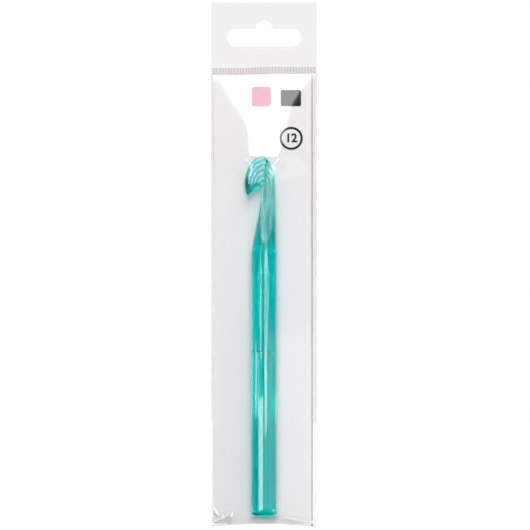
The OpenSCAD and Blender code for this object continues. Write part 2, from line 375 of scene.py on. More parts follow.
def acrylic_material(hook, shape):
    """Polished tinted acrylic: clear, with its colour in the depth, flow lines, and painted shade: a dark
    lip, a dark ridge line, a dark tick at the thumb rest's foot, a dark rim and spot at the butt, and dark
    streaks down the neck.
    """
    material, graph = new_material("tinted_acrylic")
    clear_tones = rgba((0.9, 0.985, 0.985)), rgba((1, 1, 1))
    flow = mottle(graph, scale=260, stretch=(1, 1, 0.12))
    arcs = head_arcs(graph, shape)
    streaks = neck_streaks(graph, shape)
    # Painted shade: a near-black spot on the lip's rounded rim
    lip_shade_at = (shape.lip_x + 0.8 * MM, HOOK_LOW.y + shape.r, HOOK_LOW.z + shape.throat_top)
    lip = spot(graph, lip_shade_at, reach=(2.4 * MM, 6 * MM, 6 * MM))
    # Painted shade: a near-black spot at the lower left of the butt
    heel_at = (-shape.r * 0.7, HOOK_LOW.y + shape.r * 0.3, HOOK_LOW.z + 1.2 * MM)
    heel_shade = spot(graph, heel_at, reach=(2.2 * MM, 6 * MM, 1.3 * MM))
    # Painted shade: a darker band round the butt's rounded lower edge
    above_butt = place_along(graph, "Z") - HOOK_LOW.z
    rim = fade(graph, above_butt, start=1.9 * MM, end=1 * MM)
    # Each mark on the skin as its cover and its tone; all but the flow arcs are painted shade
    marks = (
        (arcs * 0.6, (0.3, 0.5, 0.5)),
        # Painted shade: darker streaks down the neck
        (streaks * 0.5, (0.3, 0.72, 0.72)),
        # Painted shade: a dark line down the beak's ridge
        (ridge_shade_line(graph, shape) * 0.5, (0.2, 0.62, 0.6)),
        # Painted shade: a dark tick at the foot of the thumb rest
        (thumb_edge_shade(graph, shape), (0.0, 0.2, 0.17)),
        # Painted shade on the lip
        (lip ** 0.6, (0.0, 0.08, 0.06)),
        # Painted shade round the butt's lower edge
        (rim * 0.6, (0.0, 0.45, 0.38)),
        # Painted shade at the butt's lower left
        (heel_shade ** 0.6, (0.0, 0.03, 0.03)))
    skin = flow.blend(*clear_tones)
    for cover, tone in marks:
        skin = cover.blend(skin, rgba(tone))
    satin = neck_satin(graph, shape) * (streaks * 0.3 + hook.satin_blur)
    body = graph.add("ShaderNodeBsdfPrincipled", {
        "Base Color": skin,
        "Roughness": flow * 0.02 + satin + hook.gloss_blur,
        "IOR": 1.49,
        "Transmission Weight": 1.0,
        "Normal": bump(graph, flow + arcs * 0.9 + streaks * 0.5, 0.01 * MM),
    })
    depth = graph.add("ShaderNodeVolumeAbsorption", {"Color": rgba(hook.tint), "Density": hook.density})
    return finished(material, graph, body, Volume=depth)


def board_material(card):
    """Smooth white board with a faint fibre."""
    material, graph = new_material("white_board")
    fibre = mottle(graph, scale=2400, stretch=(1, 1, 0.5), detail=4)
    cloud = mottle(graph, scale=60)
    paper = graph.add("ShaderNodeBsdfPrincipled", {
        "Base Color": cloud.blend(rgba(card.board), rgba(dimmed(card.board, 0.97))),
        "Roughness": fibre * 0.2 + 0.5,
        "Normal": bump(graph, fibre, 0.02 * MM, strength=0.5),
    })
    return finished(material, graph, paper)


def ink_material(name, tone):
    """Print on the board, a little uneven in its cover."""
    thin_cover = 0.02
    material, graph = new_material(name)
    cover = mottle(graph, scale=1500)
    print_skin = graph.add("ShaderNodeBsdfPrincipled", {
        "Base Color": cover.blend(rgba(tone), rgba(mix(c, 1, thin_cover) for c in tone)),
        "Roughness": cover * 0.2 + 0.35,
        "Specular IOR Level": 0.12,
    })
    return finished(material, graph, print_skin)


def above_crown(graph):
    """0 over the hook and 1 above its crown."""
    return fade(graph, place_along(graph, "Z"), HOOK_HIGH.z - 3 * MM, HOOK_HIGH.z + 5 * MM)


def clear_film(graph, clearness, gloss, blur):
    """Film that passes light straight through and mirrors a little, more at a grazing angle."""
    grazing_power = 5
    facing = graph.add("ShaderNodeLayerWeight", {"Blend": 0.5}, output="Facing")
    mirror = facing ** grazing_power * (1 - gloss) + gloss
    haze = mottle(graph, scale=500)
    passed = graph.add("ShaderNodeBsdfTransparent", {"Color": rgba(clearness)})
    shine = graph.add("ShaderNodeBsdfPrincipled", {
        "Base Color": rgba((0.95, 0.95, 0.95)),
        "Metallic": 1.0,
        "Roughness": haze * 0.03 + blur,
    })
    return graph.add("ShaderNodeMixShader", {0: mirror, 1: passed, 2: shine})


def film_material(film):
    material, graph = new_material("clear_film")
    blur = above_crown(graph) * film.slack_blur + film.gloss_blur
    return finished(material, graph, clear_film(graph, film.clearness, film.gloss, blur))


def header_material(film):
    material, graph = new_material("header_film")
    surface = clear_film(graph, film.header_clearness, film.header_gloss, film.gloss_blur)
    return finished(material, graph, surface)


def milky_film(graph, film, tone, cover):
    """Film turned milky by heat, which covers a share of what is behind it with its own tone."""
    clear = clear_film(graph, film.clearness, film.gloss, film.gloss_blur)
    milk = graph.add("ShaderNodeBsdfPrincipled", {"Base Color": tone, "Roughness": 0.3})
    return graph.add("ShaderNodeMixShader", {0: cover, 1: clear, 2: milk})


def weld_material(name, film, tone, cover):
    """Milky film along a weld or a crease, a little uneven in its tone."""
    material, graph = new_material(name)
    uneven = mottle(graph, scale=300).blend(rgba(tone), rgba(dimmed(tone, 0.9)))
    return finished(material, graph, milky_film(graph, film, uneven, cover))


def crimp_material(film):
    """Pressed film with pale ribs, and painted shade making it darker in the grooves between them."""
    material, graph = new_material("crimped_film")
    groove_share = 0.72
    rib_share = 0.85
    groove_y = mix(CRIMP_HIGH.y, CRIMP_LOW.y, groove_share)
    rib_y = mix(CRIMP_HIGH.y, CRIMP_LOW.y, rib_share)
    # Painted shade by depth: back from the ribs' fronts the film turns to the darker groove tone
    rib = fade(graph, place_along(graph, "Y"), groove_y, rib_y)
    tone = rib.blend(rgba(film.groove_shade), rgba(film.rib))
    return finished(material, graph, milky_film(graph, film, tone, film.crimp_cover))


def link(name, data):
    """An object in the scene, with that mesh, curve, lamp or camera."""
    holder = bpy.data.objects.new(name, data)
    bpy.context.scene.collection.objects.link(holder)
    return holder


def plain_mesh(holder):
    """The mesh that an object's text or modifiers make."""
    bpy.context.view_layer.update()
    return bpy.data.meshes.new_from_object(holder.evaluated_get(bpy.context.evaluated_depsgraph_get()))


def new_piece(name, points, faces, material):
    """A smooth mesh object at the origin, with its faces turned outwards."""
    merge_gap = 1e-7
    mesh = bpy.data.meshes.new(name)
    mesh.from_pydata([tuple(p) for p in points], [], faces)
    build = bmesh.new()
    build.from_mesh(mesh)
    bmesh.ops.remove_doubles(build, verts=build.verts, dist=merge_gap)
    bmesh.ops.recalc_face_normals(build, faces=build.faces)
    build.to_mesh(mesh)
    build.free()
    mesh.shade_smooth()
    mesh.materials.append(material)
    return link(name, mesh)


def thicken(piece, film):
    """Gives a sheet the film's thickness, towards its back."""
    wall = piece.modifiers.new("film thickness", "SOLIDIFY")
    wall.thickness = film.film_t
    wall.offset = -1


def grid_faces(rows, columns, closed=False):
    """Quads of a grid of points, closed round in its columns if asked."""
    last = columns if closed else columns - 1
    faces = []
    for row in range(rows - 1):
        for column in range(last):
            beside = (column + 1) % columns
            faces.append((
                row * columns + column, row * columns + beside,
                (row + 1) * columns + beside, (row + 1) * columns + column))
    return faces


def settle_piece(piece, body, slot, *nodes):
    """Ties a finished piece to its body and hides the CAD nodes that it stands for."""
    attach(piece, body)
    if nodes:
        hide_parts(*nodes)


def mix(a, b, part):
    return a + (b - a) * part


def ease(t):
    s = np.clip(t, 0, 1)
    return s * s * (3 - 2 * s)


def bow(t, power):
    return np.sign(t) * np.abs(t) ** (2 / power)


class HookShape:
    """The hook's skin by the CAD solid's rule with a squarer neck, as [across, up] from its butt."""

    butt_turn = math.radians(15)
    edge_soft = 0.25 * MM
    round_power = 2.0
    crown_power = 1.75
    lip_power = 2.4
    neck_power = 1.25
    throat_share = 0.62
    brow_share = 0.75
    ridge_foot_x = 0.3 * MM
    ridge_top_x = 2 * MM
    ridge_soft = 0.7 * MM
    # Shares of the neck and of the head over which the section turns square and round again
    neck_swell = 0.5
    head_swell = 0.12
    butt_rings = 16
    handle_rings = 24
    step_rings = 6
    thumb_rings = 64
    neck_rings = 72
    head_rings = 150
    ring_points = 160

    def __init__(self, hook):
        self.size = hook
        self.r = hook.handle_d / 2
        self.throat_top = hook.hook_l - hook.head_h
        self.shoulder = self.throat_top - hook.neck_l
        self.thumb_foot = self.shoulder - hook.thumb_l
        self.widest = self.throat_top + hook.widest_up
        self.ridge_foot = self.throat_top - hook.head_h / 2
        self.back_x = self.r - hook.back_in
        self.wall_x = self.back_x - hook.neck_w
        self.lip_x = -self.r - hook.lip_out
        turn = hook.throat_turn
        self.throat_mid = np.array((self.wall_x - hook.throat_r, self.throat_top - hook.throat_r))
        self.lip_root = self.throat_mid + hook.throat_r * np.array((math.cos(turn), math.sin(turn)))
        self.lip_tip = self.lip_root + hook.lip_l * np.array((-math.sin(turn), math.cos(turn)))

    def soft_min(self, a, b):
        near = np.maximum(self.edge_soft - np.abs(a - b), 0) / self.edge_soft
        return np.minimum(a, b) - near * near * self.edge_soft / 4

    def flat_at(self, up):
        """Half thickness that the thumb rest and the neck's flats leave at a height."""
        size = self.size
        levels = (self.thumb_foot - self.edge_soft, self.thumb_foot, self.shoulder - size.thumb_dip,
                  self.shoulder, self.throat_top, size.hook_l)
        halves = (self.r + self.edge_soft, self.r - size.thumb_step, self.r - size.thumb_depth,
                  self.r + self.edge_soft / 2, size.neck_t / 2, size.neck_t / 2 - size.head_taper)
        return np.interp(up, levels, halves)

    def beak_cut(self, across, up):
        """How far the beak's flat sides are cut in, beside the ridge."""
        size = self.size
        climb = np.maximum(0, up - self.ridge_foot) / (size.hook_l - self.ridge_foot)
        ridge = mix(self.ridge_foot_x, self.ridge_top_x, climb ** 2)
        beak_foot = self.throat_top - size.neck_l / 2
        run_in = ease((up - beak_foot) / (self.throat_top - beak_foot))
        return (size.neck_t - size.beak_t) / 2 * run_in * ease((ridge - across) / self.ridge_soft)

    def round_stations(self, ups, radii):
        inner = np.stack((-radii, ups), 1)
        outer = np.stack((radii, ups), 1)
        return inner, outer, radii

    def butt_stations(self, count):
        turn = np.linspace(self.butt_turn, math.pi / 2, count)
        ups = self.size.butt_h * (1 - np.cos(turn) / math.cos(self.butt_turn))
        return self.round_stations(ups, self.r * np.sin(turn))

    def handle_stations(self, start, end, count):
        ups = np.linspace(start, end, count, endpoint=False)
        return self.round_stations(ups, np.full(count, self.r))

    def neck_stations(self, count):
        part = np.linspace(0, 1, count, endpoint=False)
        up = mix(self.shoulder, self.throat_mid[1], part)
        inner_x = mix(-self.r, self.wall_x, 1 - (1 - part) ** self.neck_power)
        outer_up = up + (self.widest - self.throat_mid[1]) * part ** 2
        inner = np.stack((inner_x, up), 1)
        outer = np.stack((mix(self.r, self.back_x, part), outer_up), 1)
        return inner, outer, np.full(count, self.r)

    def head_inner(self, part):
        """The inner edge runs round the throat and down the lip."""
        turn = self.size.throat_turn * np.minimum(part / self.throat_share, 1)
        throat = self.throat_mid + self.size.throat_r * np.stack((np.cos(turn), np.sin(turn)), 1)
        along = np.clip((part - self.throat_share) / (1 - self.throat_share), 0, 1)[:, None]
        lip = mix(self.lip_root, self.lip_tip, along)
        return np.where(part[:, None] < self.throat_share, throat, lip)

    def head_outer(self, part):
        """The outer edge runs over the crown and round the lip."""
        lean = self.size.crown_lean
        turn = math.pi * np.minimum(part / self.brow_share, 1)
        reach = np.where(turn < math.pi / 2, self.back_x + lean, -self.lip_x - lean)
        crown = np.stack((reach * bow(np.cos(turn), self.crown_power) - lean,
                          mix(self.widest, self.size.hook_l, bow(np.sin(turn), self.crown_power))), 1)
        drop = math.pi / 2 * np.clip((part - self.brow_share) / (1 - self.brow_share), 0, 1)
        lip = np.stack((mix(self.lip_tip[0], self.lip_x, bow(np.cos(drop), self.lip_power)),
                        mix(self.widest, self.lip_tip[1], bow(np.sin(drop), self.lip_power))), 1)
        return np.where(part[:, None] < self.brow_share, crown, lip)

    def head_stations(self, count):
        part = np.linspace(0, 1, count, endpoint=False)
        crown_share = self.throat_share * math.pi / 2 / self.size.throat_turn
        fall = np.maximum(0, part - self.brow_share) / (1 - self.brow_share)
        half = np.interp(part, (0, crown_share, self.brow_share),
                         (self.r, self.size.crown_t / 2, self.size.lip_t / 2))
        return self.head_inner(part), self.head_outer(part), half * np.sqrt(1 - fall ** 2)

    def fullness(self, count):
        """The power of every ring's bow: round on the handle, squarer on the neck and at the throat."""
        neck = np.linspace(0, 1, self.neck_rings)
        head = np.linspace(0, 1, self.head_rings)
        full = self.size.neck_fullness
        handle = np.full(count - self.neck_rings - self.head_rings, self.round_power)
        return np.concatenate((handle, np.interp(neck, (0, self.neck_swell), (self.round_power, full)),
                               np.interp(head, (0, self.head_swell), (full, self.round_power))))

    def rings(self):
        """Every closed ring of the skin, as an array of [ring, point, (across, depth, up)]."""
        step = self.thumb_foot - self.edge_soft
        groups = (
            self.butt_stations(self.butt_rings),
            self.handle_stations(self.size.butt_h, step, self.handle_rings),
            self.handle_stations(step, self.thumb_foot, self.step_rings),
            self.handle_stations(self.thumb_foot, self.shoulder, self.thumb_rings),
            self.neck_stations(self.neck_rings),
            self.head_stations(self.head_rings))
        inner, outer, half = (np.concatenate(parts) for parts in zip(*groups))
        turn = np.linspace(0, 2 * math.pi, self.ring_points, endpoint=False)
        power = self.fullness(len(half))[:, None]
        middle = ((inner + outer) / 2)[:, None, :]
        arm = ((outer - inner) / 2)[:, None, :]
        place = middle + arm * bow(np.cos(turn), power)[..., None]
        limit = self.flat_at(place[..., 1]) - self.beak_cut(place[..., 0], place[..., 1])
        rise = half[:, None] * bow(np.abs(np.sin(turn)), power)
        depth = self.soft_min(rise, limit) * np.sign(np.sin(turn))
        return np.stack((place[..., 0], depth, place[..., 1]), 2)


class HANGBAG_OT_hook(bpy.types.Operator):
    """Moulds the hook: round handle, thumb rest, tapered neck, throat and lip"""

    bl_idname = "hangbag.hook"
    bl_label = "Crochet hook"

    def execute(self, context):
        hook = context.scene.hangbag_hook
        shape = HookShape(hook)
        rings = shape.rings()
        count, sides = rings.shape[:2]
        axis = np.array((0, (HOOK_LOW.y + HOOK_HIGH.y) / 2, HOOK_LOW.z))
        points = list(rings.reshape(-1, 3) + axis)
        faces = grid_faces(count, sides, closed=True)
        tip = len(points)
        points.append(np.array((shape.lip_tip[0], 0, shape.lip_tip[1])) + axis)
        top = (count - 1) * sides
        faces += [(top + i, top + (i + 1) % sides, tip) for i in range(sides)]
        butt = len(points)
        points.append(axis)
        faces += [((i + 1) % sides, i, butt) for i in range(sides)]
        piece = new_piece("hook_moulding", points, faces, acrylic_material(hook, shape))
        settle_piece(piece, "hook", "acrylic", "crochet_hook")
        return {"FINISHED"}


class HANGBAG_OT_card(bpy.types.Operator):
    """Gives the backing card its board, and prints its ring, number and plain marks"""

    bl_idname = "hangbag.card"
    bl_label = "Backing card"

    print_t = 0.02 * MM
    ring_steps = 96
    corner_steps = 8
    # Height of a figure as a share of the text's size, and how far its strokes are widened
    figure_share = 0.7
    stroke_share = 0.032
    # Plain marks as left edge, lower edge, width, height and corner radius
    accent_box = (-5.9 * MM, -37.0 * MM, 9.2 * MM, 9.4 * MM, 1.6 * MM)
    tile_box = (7.9 * MM, -36.9 * MM, 9.7 * MM, 7.8 * MM, 0.9 * MM)

    def execute(self, context):
        card = context.scene.hangbag_card
        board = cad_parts["backing_card"]
        board.data.materials.clear()
        board.data.materials.append(board_material(card))
        ink = ink_material("dark_ink", card.ink)
        accent = ink_material("accent_ink", card.accent)
        pieces = (
            self.printed("card_ring", *self.ring(card), ink),
            self.number(card, ink),
            self.printed("card_tile", *self.patch(*self.tile_box), ink),
            self.printed("card_accent", *self.patch(*self.accent_box), accent))
        for piece in pieces:
            settle_piece(piece, "bag", "card")
        return {"FINISHED"}

    def printed(self, name, outline, hole, material):
        """A flat print with that outline, and a hole with as many points or none."""
        front = CARD_LOW.y - self.print_t
        back = CARD_LOW.y
        loops = [[(x, front, z) for x, z in outline], [(x, back, z) for x, z in outline]]
        if hole:
            loops += [[(x, back, z) for x, z in hole], [(x, front, z) for x, z in hole]]
        count = len(outline)
        points = [p for loop in loops for p in loop]
        faces = grid_faces(len(loops), count, closed=True)
        if hole:
            last = (len(loops) - 1) * count
            faces += [(last + i, last + (i + 1) % count, (i + 1) % count, i) for i in range(count)]
        else:
            faces += [tuple(range(count)), tuple(range(2 * count - 1, count - 1, -1))]
        piece = new_piece(name, points, faces, material)
        piece.data.shade_flat()
        return piece

    def ring(self, card):
        turns = [2 * math.pi * i / self.ring_steps for i in range(self.ring_steps)]
        rims = []
        for radius in (card.ring_r, card.ring_r - card.ring_line):
            rim = [(radius * math.cos(t), radius * math.sin(t)) for t in turns]
            rims.append([(card.ring_x + x, card.ring_z + z) for x, z in rim])
        return rims

    def patch(self, x, z, width, height, corner_r):
        """Outline of a rectangle with rounded corners, from its lower left corner's place."""
        outline = []
        for corner, (right, top) in enumerate(((1, 1), (0, 1), (0, 0), (1, 0))):
            centre_x = x + (width - corner_r if right else corner_r)
            centre_z = z + (height - corner_r if top else corner_r)
            for step in range(self.corner_steps + 1):
                turn = math.pi / 2 * (corner + step / self.corner_steps)
                outline.append((centre_x + corner_r * math.cos(turn), centre_z + corner_r * math.sin(turn)))
        return outline, None

    def number(self, card, ink):
        """The plain size number, centred in the ring."""
        text = bpy.data.curves.new("card_number", "FONT")
        text.body = card.number
        text.align_x = "CENTER"
        text.align_y = "CENTER"
        text.size = card.number_h / self.figure_share
        text.offset = self.stroke_share * text.size
        text.extrude = self.print_t / 2
        holder = link("card_number", text)
        mesh = plain_mesh(holder)
        bpy.data.objects.remove(holder)
        turn = Matrix.Rotation(math.pi / 2, 4, "X")
        move = Matrix.Translation((card.ring_x, CARD_LOW.y - self.print_t / 2, card.ring_z))
        mesh.transform(move @ turn)
        mesh.name = "card_number"
        mesh.materials.clear()
        mesh.materials.append(ink)
        return link("card_number", mesh)


def smooth_grid(depth, passes):
    """Evens out a grid of depths, keeping its edges."""
    for _ in range(passes):
        for axis in (0, 1):
            wide = np.pad(depth, [(1, 1) if a == axis else (0, 0) for a in (0, 1)], mode="edge")
            before = np.take(wide, range(0, wide.shape[axis] - 2), axis)
            after = np.take(wide, range(2, wide.shape[axis]), axis)
            depth = (before + 2 * depth + after) / 4
    return depth


def skin_of(mesh):
    """A tree of a mesh's faces to measure depths on."""
    return BVHTree.FromPolygons([v.co for v in mesh.vertices], [p.vertices for p in mesh.polygons])


def depth_on(skin, x, z):
    """Depth of the skin's front at a place across and up."""
    ahead = 10 * MM
    start = Vector((x, FRONT_LOW.y - ahead, z))
    nudge = Vector((0.003 * MM, 0, 0.005 * MM))
    # A ray that runs exactly along an edge can slip between two faces, so it is moved on a little
    while not (hit := skin.ray_cast(start, Vector((0, 1, 0)))[0]):
        start += nudge
    return hit.y


def fold(x, z, start, end, width):
    """A soft ridge from one point of the film to another, 1 along its middle and 0 at its ends."""
    end_power = 0.8
    ax, az = start
    run = np.array((end[0] - ax, end[1] - az))
    along = ((x - ax) * run[0] + (z - az) * run[1]) / (run @ run)
    off = ((x - ax) * run[1] - (z - az) * run[0]) / math.sqrt(run @ run)
    within = np.clip(along, 0, 1)
    return np.exp(-(off / width) ** 2) * np.sin(math.pi * within) ** end_power


def ripples(x, z, scale, seed):
    """Soft noise from -1 to 1 over a grid of places on the film, longer than it is wide."""
    stretch = 0.4
    wide = (x * scale).ravel()
    tall = (z * scale * stretch).ravel()
    return np.array([noise.noise(Vector((a, seed, b))) for a, b in zip(wide, tall)]).reshape(x.shape)


def foot_at(film, across):
    """Level of the bag's arched bottom edge."""
    return FRONT_LOW.z + film.foot_arch * (1 - (across / FRONT_HIGH.x) ** 2)


class HANGBAG_OT_film(bpy.types.Operator):
    """Draws the front film over the hook and the card, and lays the back film behind them"""

    bl_idname = "hangbag.film"
    bl_label = "Bag film"

    smooth_passes = 18
    # Ripples as bumps per metre and a seed
    front_ripples = (70, 3.1)
    back_ripples = (50, 8.4)
    butt_gap = 0.4 * MM
    probe_inset = 0.01 * MM
    # Edges of the flat fall of film between the crimp and the crown, from its foot up
    brow_levels = (-80 * MM, -60 * MM, -46 * MM, -39.5 * MM, -26.5 * MM)
    brow_left = (-2 * MM, -8 * MM, -9.5 * MM, -11.1 * MM, -20.5 * MM)
    brow_right = (2 * MM, 9.5 * MM, 10.9 * MM, 13.3 * MM, 19.5 * MM)
    # How far the slack film stands out, and the levels where that starts, is full and ends
    crown_slack = 1.25 * MM
    slack_levels = (-77 * MM, -62 * MM, -46 * MM)
    edge_fade = 3 * MM
    top_fade = 20 * MM
    # Soft folds as their two ends, width and height
    folds = (
        ((-24 * MM, -235 * MM), (-11 * MM, -229 * MM), 0.7 * MM, 0.8 * MM),
        ((-24 * MM, -228 * MM), (-19 * MM, -233 * MM), 0.7 * MM, 0.8 * MM),
        ((-18 * MM, -235 * MM), (-13 * MM, -228 * MM), 0.6 * MM, 0.6 * MM),
        ((24 * MM, -235 * MM), (6 * MM, -230 * MM), 0.9 * MM, 0.9 * MM),
        ((13 * MM, -40 * MM), (5 * MM, -66 * MM), 1 * MM, 0.25 * MM),
        ((15 * MM, -46 * MM), (7.5 * MM, -72 * MM), 0.9 * MM, 0.2 * MM),
        ((-20 * MM, -30 * MM), (-9 * MM, -66 * MM), 1.6 * MM, 0.2 * MM),
        ((21 * MM, -60 * MM), (21.6 * MM, -190 * MM), 0.8 * MM, 0.35 * MM))

    def execute(self, context):
        film = context.scene.hangbag_film
        clear = film_material(film)
        front = self.front(film, clear)
        back = self.back(film, clear)
        for piece, node in ((front, "front_panel"), (back, "back_panel")):
            thicken(piece, film)
            settle_piece(piece, "bag", "film", node)
        return {"FINISHED"}

    def places(self, film):
        """Places across and up on a grid with an arched foot, the foot, and the distance from the edge."""
        columns = round((FRONT_HIGH.x - FRONT_LOW.x) / film.grid) + 1
        rows = round((FRONT_HIGH.z - FRONT_LOW.z) / film.grid) + 1
        inset = (WELD_HIGH.x - WELD_LOW.x) / 2
        across = np.linspace(FRONT_LOW.x + inset, FRONT_HIGH.x - inset, columns)
        foot = foot_at(film, across)
        top = (CRIMP_LOW.z + CRIMP_HIGH.z) / 2
        part = np.linspace(0, 1, rows)[:, None]
        x = np.broadcast_to(across, (rows, columns))
        z = mix(foot, top, part)
        edge_gap = np.minimum.reduce((x - FRONT_LOW.x, FRONT_HIGH.x - x, z - foot, FRONT_HIGH.z - z))
        return x, z, foot, edge_gap

    def front(self, film, clear):
        x, z, foot, edge_gap = self.places(film)
        skin = skin_of(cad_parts["front_panel"].data)
        butt = HOOK_LOW.z - self.butt_gap
        # Below the butt the tight shape is squeezed up to the arched edge
        squeeze = (z - foot) / (butt - foot)
        level = np.where(z < butt, mix(FRONT_LOW.z, butt, squeeze), z)
        level = np.clip(level, FRONT_LOW.z + self.probe_inset, FRONT_HIGH.z - self.probe_inset)
        across = np.clip(x, FRONT_LOW.x + self.probe_inset, FRONT_HIGH.x - self.probe_inset)
        flat = [depth_on(skin, a, b) for a, b in zip(across.ravel(), level.ravel())]
        tight = np.array(flat).reshape(x.shape)
        loose = ease(edge_gap / self.edge_fade) * ease((FRONT_HIGH.z - z) / self.top_fade)
        drawn = smooth_grid(self.brow(x, z, tight), self.smooth_passes)
        drawn = mix(tight, drawn, ease(edge_gap / (2 * film.grid)))
        lift = film.settle + film.ripple * (1 + ripples(x, z, *self.front_ripples))
        for start, end, width, height in self.folds:
            lift = lift + height * fold(x, z, start, end, width)
        points = np.stack((x, drawn - lift * loose, z), 2).reshape(-1, 3)
        return new_piece("front_film", points, grid_faces(*x.shape), clear)

    def brow(self, x, z, tight):
        """Draws the film flat across its fall to the crown, and straight from there to the welds."""
        slack = self.crown_slack * np.interp(z, self.slack_levels, (0, 1, 0))
        crest = tight.min(axis=1, keepdims=True) - slack
        left = np.interp(z, self.brow_levels, self.brow_left)
        right = np.interp(z, self.brow_levels, self.brow_right)
        left_part = (x - FRONT_LOW.x) / (left - FRONT_LOW.x)
        right_part = (FRONT_HIGH.x - x) / (FRONT_HIGH.x - right)
        tent = mix(tight[:, :1], crest, np.clip(np.minimum(left_part, right_part), 0, 1))
        within = ease((z - self.brow_levels[0]) / (self.brow_levels[1] - self.brow_levels[0]))
        return mix(tight, np.minimum(tight, tent), within)

    def back(self, film, clear):
        x, z, _, edge_gap = self.places(film)
        loose = ease(edge_gap / self.edge_fade)
        y = BACK_HIGH.y + film.ripple * (1 + ripples(x, z, *self.back_ripples)) * loose
        points = np.stack((x, y, z), 2).reshape(-1, 3)
        faces = [tuple(reversed(f)) for f in grid_faces(*x.shape)]
        return new_piece("back_film", points, faces, clear)


class HANGBAG_OT_header(bpy.types.Operator):
    """Cuts the header's two leaves of film, with their hang slot"""

    bl_idname = "hangbag.header"
    bl_label = "Header"

    slot_l = 35.4 * MM
    slot_h = 8.6 * MM
    notch_r = 4 * MM
    notch_fillet_r = 1.1 * MM
    spacing = 1 * MM
    arc_steps = 24
    # The leaves' waves as bumps per metre across and up, and a seed for each leaf
    wave_scale = (40, 30)
    wave_seeds = (2.3, 7.3)
    # How fast the leaves part above the crimp, their share of that at the sides, and their waves' share
    part_rate = 1.5
    side_share = 0.25
    calm_share = 0.7
    wave_share = 0.5

    def execute(self, context):
        film = context.scene.hangbag_film
        flat, faces = self.cut()
        points = []
        all_faces = []
        for leaf, sign in ((0, -1), (1, 1)):
            start = len(points)
            back_y = HEADER_HIGH.y - (film.film_t if leaf == 0 else 0)
            for x, z in flat:
                points.append((x, back_y + sign * self.part_at(film, x, z, leaf), z))
            turned = faces if leaf == 0 else [tuple(reversed(f)) for f in faces]
            all_faces += [tuple(i + start for i in f) for f in turned]
        mesh = bpy.data.meshes.new("header_leaves")
        mesh.from_pydata(points, [], all_faces)
        mesh.shade_smooth()
        mesh.materials.append(header_material(film))
        piece = link("header_leaves", mesh)
        thicken(piece, film)
        settle_piece(piece, "bag", "header_film", "header_strip")
        return {"FINISHED"}

    def part_at(self, film, x, z, leaf):
        """How far a leaf stands off the middle of the header."""
        up = (z - HEADER_LOW.z) / (HEADER_HIGH.z - HEADER_LOW.z)
        side = 1 - (x / HEADER_HIGH.x) ** 2
        scale_x, scale_z = self.wave_scale
        wave = noise.noise(Vector((x * scale_x, self.wave_seeds[leaf], z * scale_z)))
        apart = film.header_bow * float(ease(up * self.part_rate)) * mix(self.side_share, 1, side)
        return apart * (self.calm_share + self.wave_share * wave)

    def fillet_x(self):
        """How far the fillets' centres stand beside the notch's centre."""
        return math.sqrt(self.notch_r * (self.notch_r + 2 * self.notch_fillet_r))

    def in_slot(self, x, z, grow=0):
        """Whether a place is in the slot, or within that distance of it."""
        end_r = self.slot_h / 2
        across = max(abs(x) - (self.slot_l / 2 - end_r), 0)
        gap = min(math.hypot(across, z + end_r) - end_r, math.hypot(x, z) - self.notch_r)
        foot_x, foot_r = self.fillet_x(), self.notch_fillet_r
        if abs(x) < foot_x and 0 < z < foot_r * abs(x) / foot_x:
            gap = min(gap, foot_r - math.hypot(abs(x) - foot_x, z - foot_r))
        return gap < grow

    def slot_outline(self):
        """The slot's edge: round ends, straight sides and the filleted notch in the middle of the top."""
        end_r = self.slot_h / 2
        foot_x, foot_r = self.fillet_x(), self.notch_fillet_r
        lean = math.degrees(math.atan2(foot_r, foot_x))
        arcs = (
            (self.slot_l / 2 - end_r, -end_r, end_r, -90, 90),
            (foot_x, foot_r, foot_r, 270, 180 + lean),
            (0, 0, self.notch_r, lean, 180 - lean),
            (-foot_x, foot_r, foot_r, -lean, -90),
            (end_r - self.slot_l / 2, -end_r, end_r, 90, 270))
        edge = []
        for x, z, radius, start, end in arcs:
            for step in range(self.arc_steps + 1):
                turn = math.radians(mix(start, end, step / self.arc_steps))
                edge.append((x + radius * math.cos(turn), z + radius * math.sin(turn)))
        return edge

    def cut(self):
        """Flat points and triangles of one leaf, with the slot left open."""
        corners = ((HEADER_LOW.x, HEADER_LOW.z), (HEADER_HIGH.x, HEADER_LOW.z),
                   (HEADER_HIGH.x, HEADER_HIGH.z), (HEADER_LOW.x, HEADER_HIGH.z))
        border = []
        for (ax, az), (bx, bz) in zip(corners, corners[1:] + corners[:1]):
            steps = round(math.hypot(bx - ax, bz - az) / self.spacing)
            border += [(mix(ax, bx, i / steps), mix(az, bz, i / steps)) for i in range(steps)]
        slot_edge = self.slot_outline()
        edges = []
        for start, count in ((0, len(border)), (len(border), len(slot_edge))):
            edges += [(start + i, start + (i + 1) % count) for i in range(count)]
        inside = []
        for x in np.arange(HEADER_LOW.x + self.spacing, HEADER_HIGH.x - self.spacing / 2, self.spacing):
            for z in np.arange(HEADER_LOW.z + self.spacing, HEADER_HIGH.z - self.spacing / 2, self.spacing):
                if not self.in_slot(x, z, self.spacing / 2):
                    inside.append((float(x), float(z)))
        flat = [Vector(p) for p in border + slot_edge + inside]
        points, _, triangles, *_ = delaunay_2d_cdt(flat, edges, [], 0, 1e-7)
        kept = []
        for triangle in triangles:
            middle = sum((points[i] for i in triangle), Vector((0, 0))) / 3
            if not self.in_slot(*middle):
                kept.append(tuple(triangle))
        return [tuple(p) for p in points], kept


